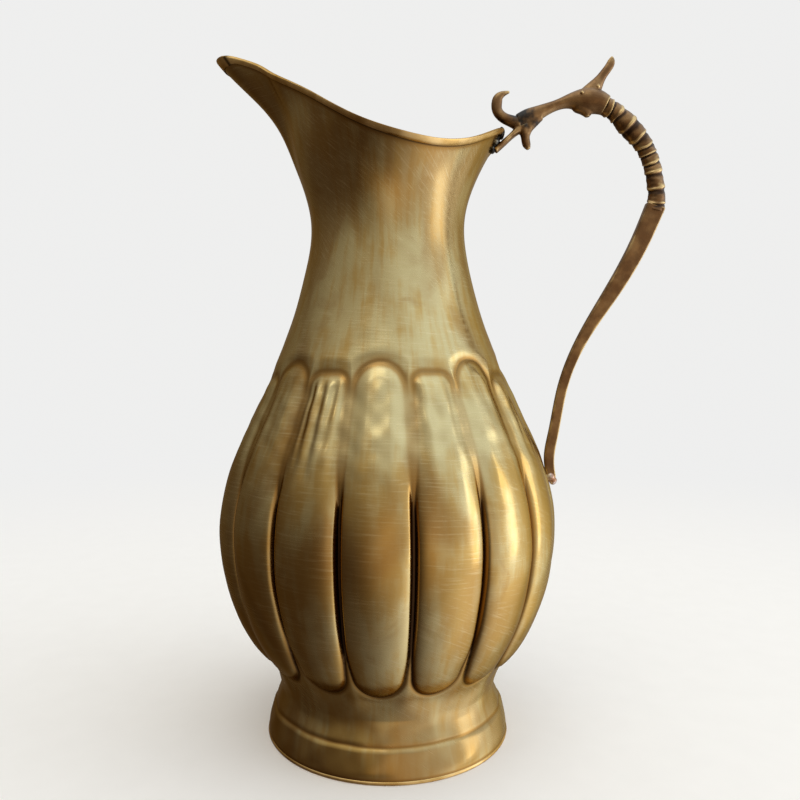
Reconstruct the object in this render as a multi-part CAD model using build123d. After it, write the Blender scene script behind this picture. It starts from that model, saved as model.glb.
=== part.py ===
"""Sheet-metal water jug: sixteen beaten lobes, swept spout, one cast handle.

Frame: millimetres, +Z up, origin at the centre of the foot on the surface it stands on.
The handle is on the +X side and the spout on the -X side; the XZ plane is the mirror plane.
"""
from build123d import *
import os
from math import atan2, cos, hypot, sin, tau

import numpy as np

# ---- driving dimensions ----
SHEET = 1.0              # thickness of the beaten sheet
WAIST_HEIGHT = 23.0      # where the bulb meets the foot
JOINT_HEIGHT = 172.0     # where the upper sheet is brazed to the bulb
FLARE_HEIGHT = 236.0     # above this the mouth leaves the round and turns into a spout

# outer radius of the body against height, foot excluded (height, radius)
BODY_PROFILE = [
    (23.0, 47.9), (29.0, 50.9), (36.7, 56.6), (50.5, 65.5), (68.9, 72.5), (91.9, 75.8),
    (114.8, 72.6), (137.8, 63.5), (160.8, 52.8), (183.7, 43.7), (206.7, 37.4), (229.7, 34.9),
    (244.0, 38.0), (255.0, 42.3), (266.0, 47.0), (277.0, 53.2), (288.0, 63.2), (299.0, 74.4),
    (306.0, 80.5),
]

# half of the mouth's edge, from the spout tip round to the handle (x, y, z)
MOUTH_EDGE = [
    (-78.0, 0.0, 303.9), (-76.0, 5.6, 303.7), (-72.5, 8.4, 303.1), (-66.5, 10.2, 301.1),
    (-51.5, 18.0, 292.1), (-41.5, 26.0, 284.7), (-30.0, 35.5, 276.2), (-8.0, 46.4, 261.4),
    (6.0, 47.0, 256.3), (25.0, 38.5, 254.8), (41.0, 24.0, 260.8), (50.0, 10.0, 268.0),
    (52.0, 0.0, 270.4),
]
FLARE_POWER = 2.2        # how late the flare turns towards the mouth's edge
MOUTH_COLUMNS = 36       # spline points round the mouth
NECK_STEPS = 10          # rings between the joint and the mouth's edge
SPOUT_CROWDING = 0.7     # 0 spreads them evenly, near 1 crowds them at the spout

LOBES = 16
LOBE_DEPTH = 3.0                 # from crest to groove at the widest place
LOBE_BOTTOM = 34.0
LOBE_TOP = 166.0
SHORT_LOBE_DROP = 5.0            # every other lobe starts this much lower
LOBE_FADE = 16.0                 # length over which a lobe dies out at its ends
POINTS_PER_LOBE = 4

# foot: outer radius and height of its edge, its swaged step and its waist
FOOT_RADIUS = 54.2
FOOT_STEP_HEIGHT = 12.3
FOOT_STEP_RADIUS = 51.6
FOOT_STEP = 0.9          # the step stands this much proud of the cone above it
FOOT_STEP_SLOPE = 1.2    # height over which the step falls away
HEM_HEIGHT = 1.8
HEM_THICKNESS = 0.6

BAND_DEPTH = 2.2         # edging strip, measured down from the mouth's edge
BAND_THICKNESS = 0.6
DISC_HEIGHT = 26.0       # underside of the bottom disc at its edge
DISC_DOME = 3.0          # rise at its middle
BRAZE_WIDTH = 3.0
BRAZE_DEPTH = 0.8
FIT_GAP = 0.03           # clearance that brazing metal and folded edges leave

# handle outline in the mirror plane: (x, z, radius)
CURL = [(59.5, 272.5, 3.1), (55.0, 274.8, 2.6), (51.0, 277.0, 2.2), (49.2, 280.8, 2.2),
        (49.2, 284.6, 2.2), (51.2, 287.0, 1.7), (54.0, 287.9, 0.7)]
STRAP = [(59.5, 272.5, 2.4), (54.6, 267.6, 1.5), (49.2, 261.8, 1.3)]
LEAF = [(60.5, 271.5, 3.1), (61.6, 267.0, 2.3), (63.4, 262.3, 0.7)]
HEAD = [(59.0, 272.0, 3.4), (63.5, 275.4, 3.8), (69.0, 278.8, 3.0), (75.8, 281.3, 2.4),
        (81.6, 283.0, 3.3), (88.4, 282.9, 5.6), (94.0, 282.4, 5.5), (98.0, 280.4, 4.4)]
EAR = [(90.5, 286.0, 2.6), (95.6, 291.4, 2.2), (98.0, 296.6, 1.9), (100.0, 302.4, 0.5)]
GRIP = [(94.5, 282.6), (102.4, 277.2), (110.0, 269.0), (116.1, 259.6), (119.2, 248.0),
        (119.8, 240.4), (119.0, 232.5)]
GRIP_RADIUS = 3.9
GRIP_RINGS = 11
RING_HEIGHT = 0.55
# centre line of the plain tail bar below the grip: (x, z, width)
TAIL = [(119.4, 235.0, 8.3), (112.9, 220.2, 7.9), (101.2, 198.9, 6.9), (87.9, 177.4, 5.1),
        (79.4, 156.0, 4.5), (75.4, 134.0, 4.5), (73.9, 120.0, 4.3), (75.3, 113.6, 3.8)]
TAIL_DEPTH_RATIO = 0.75  # depth across the mirror plane over width in it
TAIL_CORNER = 0.28       # corner chamfer over the smaller side
TAIL_STATIONS = 20

LOWER_BEAD_RADIUS = 2.4
UPPER_PATCH = [(47.0, 262.0, 2.2), (49.5, 266.0, 2.6), (51.5, 270.2, 1.9)]


def cubic(points, closed_span=None):
    """Return the cubic spline through (x, y) points; closed_span makes it periodic."""
    xs = np.array([p[0] for p in points], float)
    ys = np.array([p[1] for p in points], float)
    if closed_span is not None:
        xs = np.concatenate([xs - closed_span, xs, xs + closed_span])
        ys = np.tile(ys, 3)
    count = len(xs)
    steps = np.diff(xs)
    slopes = np.diff(ys) / steps
    system = np.eye(count)
    wanted = np.zeros(count)
    for i in range(1, count - 1):
        system[i, i - 1:i + 2] = steps[i - 1], 2 * (steps[i - 1] + steps[i]), steps[i]
        wanted[i] = 6 * (slopes[i] - slopes[i - 1])
    bends = np.linalg.solve(system, wanted)

    def value(x):
        i = int(np.clip(np.searchsorted(xs, x) - 1, 0, count - 2))
        a = xs[i + 1] - x
        b = x - xs[i]
        h = steps[i]
        return ((bends[i] * a ** 3 + bends[i + 1] * b ** 3) / (6 * h)
                + (ys[i] / h - bends[i] * h / 6) * a
                + (ys[i + 1] / h - bends[i + 1] * h / 6) * b)

    return value


def smooth_step(value):
    value = min(max(value, 0.0), 1.0)
    return value * value * (3 - 2 * value)


body_radius = cubic(BODY_PROFILE)


# ---- mouth and neck ----
def mouth_functions():
    """Return radius and height of the mouth's edge against the angle round the jug."""
    half = [(atan2(y, x), (x * x + y * y) ** 0.5, z) for x, y, z in MOUTH_EDGE]
    mirrored = [(tau - angle, radius, z) for angle, radius, z in half[1:-1]]
    ring = sorted(half + mirrored)
    radius = cubic([(angle, r) for angle, r, z in ring], tau)
    height = cubic([(angle, z) for angle, r, z in ring], tau)
    return radius, height


edge_radius, edge_height = mouth_functions()


def sheet_point(angle, height, inset=0.0):
    """Return the point of the neck and mouth sheet at an angle and height."""
    top = edge_height(angle)
    lean = max(0.0, (height - FLARE_HEIGHT) / (top - FLARE_HEIGHT)) ** FLARE_POWER
    radius = body_radius(height) + (edge_radius(angle) - body_radius(top)) * lean - inset
    return (radius * cos(angle), radius * sin(angle), height)


def mouth_angles():
    """Spread the angles so that the narrow spout gets as many points as the round back."""
    even = [tau * i / MOUTH_COLUMNS for i in range(MOUTH_COLUMNS)]
    return [angle + SPOUT_CROWDING * sin(angle) for angle in even]


def closed_wire(points):
    """Smooth closed curve; each tangent is that of the circle through three neighbours."""
    points = [Vector(*point) for point in points]
    following = points[1:] + points[:1]
    previous = points[-1:] + points[:-1]
    tangents = []
    for before, point, after in zip(previous, points, following):
        back = point - before
        ahead = after - point
        tangents.append(ahead * (back.length / ahead.length) + back * (ahead.length / back.length))
    return Wire([Edge.make_spline(points, tangents=tangents, periodic=True)])


def tube_solid(rings_out, rings_in):
    """Close two nested stacks of rings into one sheet solid."""
    outer = Shell.make_loft(rings_out)
    inner = Shell.make_loft(rings_in)
    low = Shell.make_loft([rings_out[0], rings_in[0]], ruled=True)
    high = Shell.make_loft([rings_out[-1], rings_in[-1]], ruled=True)
    faces = outer.faces() + inner.faces() + low.faces() + high.faces()
    return Solid(Shell(faces))


def neck_rings(inset):
    rings = []
    for step in range(NECK_STEPS + 1):
        level = step / NECK_STEPS
        points = []
        for angle in mouth_angles():
            height = JOINT_HEIGHT + level * (edge_height(angle) - JOINT_HEIGHT)
            height += FIT_GAP * (1 - level)
            points.append(sheet_point(angle, height, inset))
        rings.append(closed_wire(points))
    return rings


def make_neck():
    return tube_solid(neck_rings(0.0), neck_rings(SHEET))


# ---- bulb ----
def lobe_depth(lobe_number, height):
    """Depth of the grooves beside a lobe: none at its ends, full over its middle."""
    top = LOBE_TOP - SHORT_LOBE_DROP * (lobe_number % 2)
    rise = smooth_step((height - LOBE_BOTTOM) / LOBE_FADE)
    fall = smooth_step((top - height) / (2 * LOBE_FADE))
    return LOBE_DEPTH * rise * fall


def bulb_ring(height, inset):
    pitch = tau / LOBES
    points = []
    for i in range(LOBES * POINTS_PER_LOBE):
        turn = i / POINTS_PER_LOBE
        across = 2 * (turn - round(turn))
        depth = lobe_depth(round(turn), height)
        radius = body_radius(height) - depth * abs(across) ** 2.5 - inset
        angle = turn * pitch
        points.append((radius * cos(angle), radius * sin(angle), height))
    return closed_wire(points)


def make_bulb():
    heights = [WAIST_HEIGHT + FIT_GAP, 29.0, 36.7, 44.0, 54.0, 70.0, 92.0, 116.0, 136.0, 152.0, 163.0,
               JOINT_HEIGHT]
    outer = [bulb_ring(height, 0.0) for height in heights]
    inner = [bulb_ring(height, SHEET) for height in heights]
    return tube_solid(outer, inner)


# ---- foot ----
def foot_outline(inset):
    """Outer line of the foot sheet, from the waist down, moved inwards by inset."""
    waist = body_radius(WAIST_HEIGHT)
    above_step = FOOT_STEP_RADIUS - FOOT_STEP
    return [
        (waist - inset, WAIST_HEIGHT),
        (above_step - inset, FOOT_STEP_HEIGHT + FOOT_STEP_SLOPE),
        (FOOT_STEP_RADIUS - inset, FOOT_STEP_HEIGHT),
        (FOOT_RADIUS - inset, HEM_THICKNESS),
    ]


def revolved(outline):
    """Turn a closed (radius, height) outline about the jug's axis."""
    wire = Wire.make_polygon([Vector(radius, 0, height) for radius, height in outline])
    return Solid.revolve(Face(wire), 360, Axis.Z)


def make_foot_collar():
    return revolved(foot_outline(0.0) + foot_outline(SHEET)[::-1])


def make_foot_hem():
    """The edging strip folded up over both sides of the foot's lower edge, leaning with it."""
    outside = FOOT_RADIUS + HEM_THICKNESS
    inside = FOOT_RADIUS - SHEET - HEM_THICKNESS
    slot_outside = FOOT_RADIUS + FIT_GAP
    slot_inside = FOOT_RADIUS - SHEET - FIT_GAP
    slope = (FOOT_RADIUS - FOOT_STEP_RADIUS) / (FOOT_STEP_HEIGHT - HEM_THICKNESS)
    lean = slope * (HEM_HEIGHT - HEM_THICKNESS)
    return revolved([(outside, 0), (outside - lean, HEM_HEIGHT), (slot_outside - lean, HEM_HEIGHT),
                     (slot_outside, HEM_THICKNESS), (slot_inside, HEM_THICKNESS),
                     (slot_inside - lean, HEM_HEIGHT), (inside - lean, HEM_HEIGHT), (inside, 0)])


def make_bottom_disc():
    """Domed disc that closes the bulb from inside, just above the waist."""
    reach = body_radius(DISC_HEIGHT) - SHEET - FIT_GAP
    return revolved([(0, DISC_HEIGHT + DISC_DOME), (0, DISC_HEIGHT + DISC_DOME + SHEET),
                     (reach, DISC_HEIGHT + SHEET), (reach, DISC_HEIGHT)])


def make_braze_ring(height):
    """Flat bead of brazing metal inside the butt joint of two sheets."""
    low = height - BRAZE_WIDTH / 2
    high = height + BRAZE_WIDTH / 2
    outline = [(body_radius(place) - SHEET - FIT_GAP, place) for place in (low, height, high)]
    outline += [(radius - BRAZE_DEPTH, place) for radius, place in outline[::-1]]
    return revolved(outline)


# ---- edging of the mouth ----
def band_section(angle):
    """Corners of the folded strip at one angle: round its outside, then round its slot."""
    top = edge_height(angle)
    low = top - BAND_DEPTH
    radial = Vector(cos(angle), sin(angle), 0)
    outer_low = Vector(*sheet_point(angle, low))
    outer_top = Vector(*sheet_point(angle, top))
    inner_low = Vector(*sheet_point(angle, low, SHEET))
    inner_top = Vector(*sheet_point(angle, top, SHEET))
    along = (outer_top - outer_low).normalized()
    outward = (radial * along.Z - Vector(0, 0, along.dot(radial))).normalized()
    corners = []
    for reach in (BAND_THICKNESS, FIT_GAP):
        past = along * reach
        side = outward * reach
        loop = [outer_low + side, outer_top + side + past, inner_top - side + past,
                inner_low - side]
        corners += loop if not corners else loop[::-1]
    return corners


def make_rim_band():
    sections = [band_section(angle) for angle in mouth_angles()]
    corner_count = len(sections[0])
    wires = [closed_wire([section[corner] for section in sections])
             for corner in range(corner_count)]
    faces = []
    for corner in range(corner_count):
        pair = [wires[corner], wires[(corner + 1) % corner_count]]
        faces += Shell.make_loft(pair, ruled=True).faces()
    return Solid(Shell(faces))


# ---- handle ----
def largest(shape):
    return max(shape.solids(), key=lambda solid: solid.volume)


def path_functions(points):
    """Return x, z (and width, if given) along the points as functions of chord length."""
    lengths = [0.0]
    for a, b in zip(points, points[1:]):
        lengths.append(lengths[-1] + hypot(b[0] - a[0], b[1] - a[1]))
    columns = [cubic(list(zip(lengths, column))) for column in zip(*points)]
    return columns, lengths[-1]


def section_plane(columns, place):
    """Plane across a path that lies in the mirror plane."""
    step = 0.01
    origin = Vector(columns[0](place), 0, columns[1](place))
    ahead = Vector(columns[0](place + step), 0, columns[1](place + step))
    return Plane(origin=origin, x_dir=(0, 1, 0), z_dir=(ahead - origin).normalized())


def round_branch(points, stations):
    """Round tapering branch of the casting along (x, z, radius) points."""
    columns, length = path_functions(points)
    wires = []
    for i in range(stations + 1):
        place = length * i / stations
        radius = max(columns[2](place), 0.3)
        wires.append(Wire([Edge.make_circle(radius, section_plane(columns, place))]))
    return Solid.make_loft(wires)


def ringed_grip():
    """The horn: a bent rod with raised rings."""
    columns, length = path_functions(GRIP)
    stations = 2 * GRIP_RINGS + 1
    wires = []
    for i in range(stations + 1):
        place = length * i / stations
        radius = GRIP_RADIUS + (RING_HEIGHT if i % 2 else -RING_HEIGHT / 2)
        wires.append(Wire([Edge.make_circle(radius, section_plane(columns, place))]))
    return Solid.make_loft(wires, ruled=True)


def tail_bar():
    """Plain tapering bar with chamfered corners below the grip."""
    columns, length = path_functions(TAIL)
    wires = []
    for i in range(TAIL_STATIONS + 1):
        place = length * i / TAIL_STATIONS
        plane = section_plane(columns, place)
        half_width = columns[2](place) / 2
        half_depth = half_width * TAIL_DEPTH_RATIO
        cut = 2 * half_depth * TAIL_CORNER
        corners = [(half_depth - cut, half_width), (half_depth, half_width - cut)]
        corners += [(a, -b) for a, b in corners[::-1]]
        corners += [(-a, b) for a, b in corners[::-1]]
        wires.append(Wire.make_polygon([plane.from_local_coords((a, b)) for a, b in corners]))
    return Solid.make_loft(wires, ruled=True)


def make_handle():
    handle = tail_bar() + ringed_grip()
    for points in (HEAD, CURL, STRAP, LEAF, EAR):
        handle = handle + round_branch(points, 2 * len(points))
    return largest(handle)


# ---- soldered joints ----
def make_lower_bead(bulb, handle):
    x, z, width = TAIL[-1]
    bead = Pos(x - width / 4, 0, z) * Solid.make_sphere(LOWER_BEAD_RADIUS)
    return largest(bead - bulb - handle)


def make_upper_patch(neck, band, handle):
    patch = round_branch(UPPER_PATCH, 2 * len(UPPER_PATCH))
    return largest(patch - neck - band - handle)


def build():
    neck = make_neck()
    bulb = make_bulb()
    band = make_rim_band()
    handle = make_handle()
    return {
        "neck_body": neck,
        "bulb_body": bulb,
        "bottom_disc": make_bottom_disc(),
        "foot_collar": make_foot_collar(),
        "foot_hem": make_foot_hem(),
        "rim_band": band,
        "handle_casting": handle,
        "upper_solder": make_upper_patch(neck, band, handle),
        "lower_solder": make_lower_bead(bulb, handle),
        "body_braze": make_braze_ring(JOINT_HEIGHT),
        "foot_braze": make_braze_ring(WAIST_HEIGHT),
    }


if __name__ == "__main__":
    os.makedirs("parts", exist_ok=True)
    for name, solid in build().items():
        solid.label = name
        export_step(solid, f"parts/{name}.step")
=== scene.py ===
from math import cos, pi, radians, sin, tau

import bpy
import numpy as np
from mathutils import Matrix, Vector


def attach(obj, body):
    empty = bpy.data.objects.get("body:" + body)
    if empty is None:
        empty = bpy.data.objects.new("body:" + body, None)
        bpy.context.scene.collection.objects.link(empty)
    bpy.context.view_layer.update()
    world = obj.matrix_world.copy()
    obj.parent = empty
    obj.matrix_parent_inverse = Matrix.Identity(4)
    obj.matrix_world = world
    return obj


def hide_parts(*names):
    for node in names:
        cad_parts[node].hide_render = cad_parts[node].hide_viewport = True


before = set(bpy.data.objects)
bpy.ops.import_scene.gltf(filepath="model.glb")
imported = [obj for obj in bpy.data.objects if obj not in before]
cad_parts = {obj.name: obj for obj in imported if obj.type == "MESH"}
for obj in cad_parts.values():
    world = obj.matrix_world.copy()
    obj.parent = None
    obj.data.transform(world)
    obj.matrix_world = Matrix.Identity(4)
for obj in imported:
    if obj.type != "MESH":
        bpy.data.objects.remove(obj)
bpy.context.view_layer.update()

MM = 0.001               # the shapes below are written in millimetres

# ---- sizes shared with the CAD model ----
SHEET = 1.0
WAIST_HEIGHT = 23.0
JOINT_HEIGHT = 172.0
FLARE_HEIGHT = 236.0
FLARE_POWER = 2.2
# smooth outline of the body: (height, radius)
BODY_PROFILE = [
    (23.0, 47.9), (29.0, 50.9), (36.7, 56.6), (50.5, 65.5), (68.9, 72.5), (91.9, 75.8),
    (114.8, 72.6), (137.8, 63.5), (160.8, 52.8), (183.7, 43.7), (206.7, 37.4), (229.7, 34.9),
    (244.0, 38.0), (255.0, 42.3), (266.0, 47.0), (277.0, 53.2), (288.0, 63.2), (299.0, 74.4),
    (306.0, 80.5),
]
# one half of the mouth's edge, from the spout's tip to the handle: (x, y, z)
MOUTH_EDGE = [
    (-78.0, 0.0, 303.9), (-76.0, 5.6, 303.7), (-72.5, 8.4, 303.1), (-66.5, 10.2, 301.1),
    (-51.5, 18.0, 292.1), (-41.5, 26.0, 284.7), (-30.0, 35.5, 276.2), (-8.0, 46.4, 261.4),
    (6.0, 47.0, 256.3), (25.0, 38.5, 254.8), (41.0, 24.0, 260.8), (50.0, 10.0, 268.0),
    (52.0, 0.0, 270.4),
]
LOBES = 16
PITCH = tau / LOBES


# ---- small helpers ----
def cubic(points, span=None):
    """Cubic spline through (x, y) points, for arrays; span makes it periodic."""
    xs = np.array([p[0] for p in points], float)
    ys = np.array([p[1] for p in points], float)
    if span is not None:
        xs = np.concatenate([xs - span, xs, xs + span])
        ys = np.tile(ys, 3)
    count = len(xs)
    steps = np.diff(xs)
    slopes = np.diff(ys) / steps
    system = np.eye(count)
    wanted = np.zeros(count)
    for i in range(1, count - 1):
        system[i, i - 1:i + 2] = steps[i - 1], 2 * (steps[i - 1] + steps[i]), steps[i]
        wanted[i] = 6 * (slopes[i] - slopes[i - 1])
    bends = np.linalg.solve(system, wanted)

    def value(x):
        x = np.asarray(x, float)
        i = np.clip(np.searchsorted(xs, x) - 1, 0, count - 2)
        a = xs[i + 1] - x
        b = x - xs[i]
        h = steps[i]
        return ((bends[i] * a ** 3 + bends[i + 1] * b ** 3) / (6 * h)
                + (ys[i] / h - bends[i] * h / 6) * a
                + (ys[i + 1] / h - bends[i + 1] * h / 6) * b)

    return value


def smooth(low, high, value):
    """0 below low, 1 above high, smooth between them."""
    t = np.clip((value - low) / (high - low), 0.0, 1.0)
    return t * t * (3 - 2 * t)


def waves(x, y, z, length, seed):
    """Gentle irregular ripple of about unit height, the same on every run."""
    rng = np.random.default_rng(seed)
    total = 0.0
    count = 9
    for _ in range(count):
        direction = rng.normal(size=3)
        direction /= np.linalg.norm(direction)
        scale = tau / (length * rng.uniform(0.7, 1.5))
        phase = rng.uniform(0, tau)
        total = total + np.sin(scale * (direction[0] * x + direction[1] * y + direction[2] * z)
                               + phase)
    return total / count ** 0.5


def row_heights(runs):
    """Heights through runs of (from, to, how many); only the last run includes its end."""
    parts = [np.linspace(low, high, count, endpoint=False) for low, high, count in runs[:-1]]
    return np.concatenate(parts + [np.linspace(*runs[-1])])


def unit(vectors):
    """The vectors brought to length one."""
    return vectors / np.linalg.norm(vectors, axis=-1, keepdims=True)


def grid_mesh(name, points, around=True, along=True, marks=None):
    """Mesh object from a (rows, columns, 3) grid in millimetres, closed as asked.

    marks are named values for each point, which the materials read.
    """
    rows, columns = points.shape[:2]
    index = np.arange(rows * columns).reshape(rows, columns)
    low = index if along else index[:-1]
    high = np.roll(index, -1, axis=0) if along else index[1:]
    if around:
        quads = np.stack([low, np.roll(low, -1, axis=1), np.roll(high, -1, axis=1), high], axis=-1)
    else:
        quads = np.stack([low[:, :-1], low[:, 1:], high[:, 1:], high[:, :-1]], axis=-1)
    quads = quads.reshape(-1, 4)
    mesh = bpy.data.meshes.new(name)
    mesh.vertices.add(rows * columns)
    mesh.vertices.foreach_set("co", (points.reshape(-1) * MM).astype(np.float32))
    mesh.loops.add(quads.size)
    mesh.loops.foreach_set("vertex_index", quads.reshape(-1).astype(np.int32))
    mesh.polygons.add(len(quads))
    mesh.polygons.foreach_set("loop_start", np.arange(0, quads.size, 4, dtype=np.int32))
    mesh.update(calc_edges=True)
    mesh.validate()
    for mark, values in (marks or {}).items():
        layer = mesh.attributes.new(mark, "FLOAT", "POINT")
        spread = np.broadcast_to(values, (rows, columns)).reshape(-1)
        layer.data.foreach_set("value", spread.astype(np.float32))
    piece = bpy.data.objects.new(name, mesh)
    bpy.context.scene.collection.objects.link(piece)
    return piece


def finish_piece(piece, material, nodes, sharp_angle=50.0):
    """Shade, paint and attach one piece, and let it stand for its CAD nodes."""
    mesh = piece.data
    mesh.polygons.foreach_set("use_smooth", np.ones(len(mesh.polygons), dtype=bool))
    mesh.set_sharp_from_angle(angle=radians(sharp_angle))
    mesh.materials.clear()
    mesh.materials.append(material)
    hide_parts(*nodes)
    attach(piece, "root")


body_radius = cubic(BODY_PROFILE)


# ---- beaten lobes ----
TALL_TOP = 166.3
SHORT_TOP = 161.0
LOBE_END = 34.4
UPPER_START = 106.0      # above this the lobes part and the grooves open into soft valleys
UPPER_FULL = 132.0
RELIEF_END = 166.0       # from here the relief dies away towards the seam at JOINT_HEIGHT
TALL_CORNER = 9.0
SHORT_CORNER = 5.0
LOWER_CORNER = 8.8
HALF_WIDTH = 0.490       # of a lobe, as a share of the pitch
LOBE_DEPTH = 3.5
SLIT_DEPTH = 1.6         # of the narrow slits between the lobes, low on the bulb
PLEAT_LENGTH = 6.2
LOBE_SHIFTS = np.random.default_rng(5).uniform(-0.014, 0.014, LOBES)
LOBE_TOPS = np.random.default_rng(6).uniform(-0.9, 0.7, LOBES)
LOBE_PLEATS = np.random.default_rng(31).uniform(0.05, 0.50, LOBES)


def inside_distance(side, end, corner):
    """Distance inside a rounded corner whose sides are side and end away."""
    across = corner - side
    along = corner - end
    outer = np.hypot(np.maximum(across, 0), np.maximum(along, 0))
    return corner - outer - np.minimum(np.maximum(across, along), 0)


def lobe_distance(turn, height, arc, tall):
    """Distance inside the tall or short lobes, their half width, place across, and pleating."""
    first = 0 if tall else 1
    nearest = 2 * np.round((turn - first) / 2) + first
    which = nearest.astype(int) % LOBES
    across = (turn - nearest - LOBE_SHIFTS[which] * smooth(UPPER_START, UPPER_FULL, height)) * arc
    if tall:
        share = HALF_WIDTH - 0.030 * smooth(UPPER_START, UPPER_FULL, height)
        top, corner = TALL_TOP, TALL_CORNER
    else:
        share = HALF_WIDTH - 0.090 * smooth(UPPER_START, 142, height)
        top, corner = SHORT_TOP, SHORT_CORNER
    width = (share - 0.075 * (1 - smooth(36, 66, height)) ** 2) * arc
    side = width - np.abs(across)
    upper = inside_distance(side, top + LOBE_TOPS[which] - height, corner)
    lower = inside_distance(side, height - LOBE_END, LOWER_CORNER)
    return np.minimum(upper, lower), width, across, LOBE_PLEATS[which]


def lobe_relief(angle, height):
    """Radial offset of the beaten bulb from its smooth outline, and how dark it is painted there:
    dirt, and painted shade in the slits and creases.
    """
    arc = PITCH * body_radius(height)
    turn = angle / PITCH
    tall, tall_width, _, _ = lobe_distance(turn, height, arc, True)
    short, short_width, short_across, pleating = lobe_distance(turn, height, arc, False)
    # shares of three zones: where the lobes part, round the arches, at the lower ends
    upper = smooth(UPPER_START, UPPER_FULL, height)
    top = smooth(150, 163, height)
    bottom = 1 - smooth(33, 50, height)
    # neighbouring lobes run softly into each other at their lower ends
    blend = 0.05 + 1.2 * bottom
    inside = np.logaddexp(tall / blend, short / blend) * blend
    width = np.where(tall > short, tall_width, short_width)
    # pillow: 0 at a lobe's border, 1 in its middle; steep low down, soft where the lobes part
    share = np.clip(inside / width, 0, 1)
    crisp = 0.62 * (1 - (1 - share) ** 2) + 0.38 * (1 - (1 - share) ** 8)
    soft = smooth(-0.06, 0.62, inside / width)
    pillow = crisp + (soft - crisp) * upper
    # past the arches and the lower ends the sheet comes back to its smooth outline
    shelf = smooth(0.0, 6.5 + 4.5 * bottom, -inside) * np.maximum(top, bottom)
    level = np.where(inside > 0, 1 - pillow, np.maximum(1 - pillow - shelf, 0))
    level *= 1 - smooth(RELIEF_END, JOINT_HEIGHT, height)
    depth = LOBE_DEPTH - 1.8 * upper - 0.8 * top - 1.6 * bottom
    # narrow grooves along the border: slits low down, shallow creases elsewhere
    slit = SLIT_DEPTH * (1 - smooth(98, 122, height)) * smooth(46, 72, height)
    crease = 0.25 * (1 - upper) + 0.22 * top + 0.30 * bottom
    edge = np.where(inside > 0, inside, inside * (1 - upper * (1 - top)))
    groove = np.exp(-(edge / (0.85 + 0.75 * top + 0.25 * bottom)) ** 2)
    wide = np.exp(-(edge / 3.0) ** 2)
    # pleats run down the upper part of the short lobes
    phase = short_across * tau / PLEAT_LENGTH + 3.0 * np.sin(turn * 1.7)
    pleats = np.sin(phase) * smooth(0.5, 3.5, short) * pleating
    pleats *= smooth(118, 146, height) * (1 - smooth(154, 160, height))
    offset = -depth * level - (slit + crease) * groove + pleats
    # dirt and painted shade: dark in the slits, round the arch tops and under the lobe ends, with
    # a wider brown patina beside the grooves
    dirt_and_shade = groove * (0.80 - 0.70 * upper + 0.28 * top - 0.20 * bottom) + (0.18 + 0.06 * top) * wide
    return offset, np.clip(dirt_and_shade, 0, 1)


FILLET = 0.9
FILLET_REACH = 2.6


def waist_fillet(height):
    """What is added to the radius so that the waist above the foot is no sharp corner."""
    return FILLET * np.exp(-np.abs(height - WAIST_HEIGHT) / FILLET_REACH)


def bulb_points(heights, angles, inset):
    """Grid of points on the beaten bulb, inset from its outer face, and how dark each is painted
    (dirt and painted shade).
    """
    height, angle = np.meshgrid(heights, angles, indexing="ij")
    relief, dirt_and_shade = lobe_relief(angle, height)
    radius = body_radius(height) + waist_fillet(height) + relief - inset
    x = radius * np.cos(angle)
    y = radius * np.sin(angle)
    hammer = 0.07 * waves(x, y, height, 13.0, 3) + 0.05 * waves(x, y, height, 34.0, 4)
    hammer *= smooth(WAIST_HEIGHT, 30, height) * (1 - smooth(RELIEF_END, JOINT_HEIGHT, height))
    dents = 0.16 * waves(x, y, 0.25 * height, 9.0, 5) + 0.09 * waves(x, y, height, 8.0, 9)
    dents *= smooth(108, 138, height) * (1 - smooth(158, 168, height))
    radius = radius + hammer + dents
    return np.stack([radius * np.cos(angle), radius * np.sin(angle), height], axis=-1), dirt_and_shade


# rows of the bulb's mesh, crowded where the relief is fine
BULB_ROWS = [(WAIST_HEIGHT, 31, 12), (31, 52, 62), (52, 100, 50), (100, 148, 60), (148, 170, 60),
             (170, JOINT_HEIGHT, 3)]
LOBE_COLUMNS = 68
BULB_INSIDE_DIRT = 0.5


def make_bulb():
    """Beaten lower sheet: outer face upwards, inner face back down with a quarter of the rows."""
    angles = np.linspace(0, tau, LOBES * LOBE_COLUMNS, endpoint=False)
    heights = row_heights(BULB_ROWS)
    outer, dirt_and_shade = bulb_points(heights, angles, 0.0)
    inner, _ = bulb_points(heights[::-4], angles, SHEET)
    inner[0, :, 2] = JOINT_HEIGHT
    inner[-1] = bulb_points(heights[:1], angles, SHEET)[0]
    points = np.concatenate([outer, inner])
    dirt_and_shade = np.concatenate([dirt_and_shade, np.full(inner.shape[:2], BULB_INSIDE_DIRT)])
    return grid_mesh("bulb", points, marks={"dirt_and_shade": dirt_and_shade})


# ---- neck, mouth and edging ----
def mouth_functions():
    """Radius and height of the mouth's edge against the angle round the jug."""
    half = [(float(np.arctan2(y, x)), float(np.hypot(x, y)), z) for x, y, z in MOUTH_EDGE]
    mirrored = [(tau - angle, radius, z) for angle, radius, z in half[1:-1]]
    ring = sorted(half + mirrored)
    radius = cubic([(angle, r) for angle, r, _ in ring], tau)
    height = cubic([(angle, z) for angle, _, z in ring], tau)
    return radius, height


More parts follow.
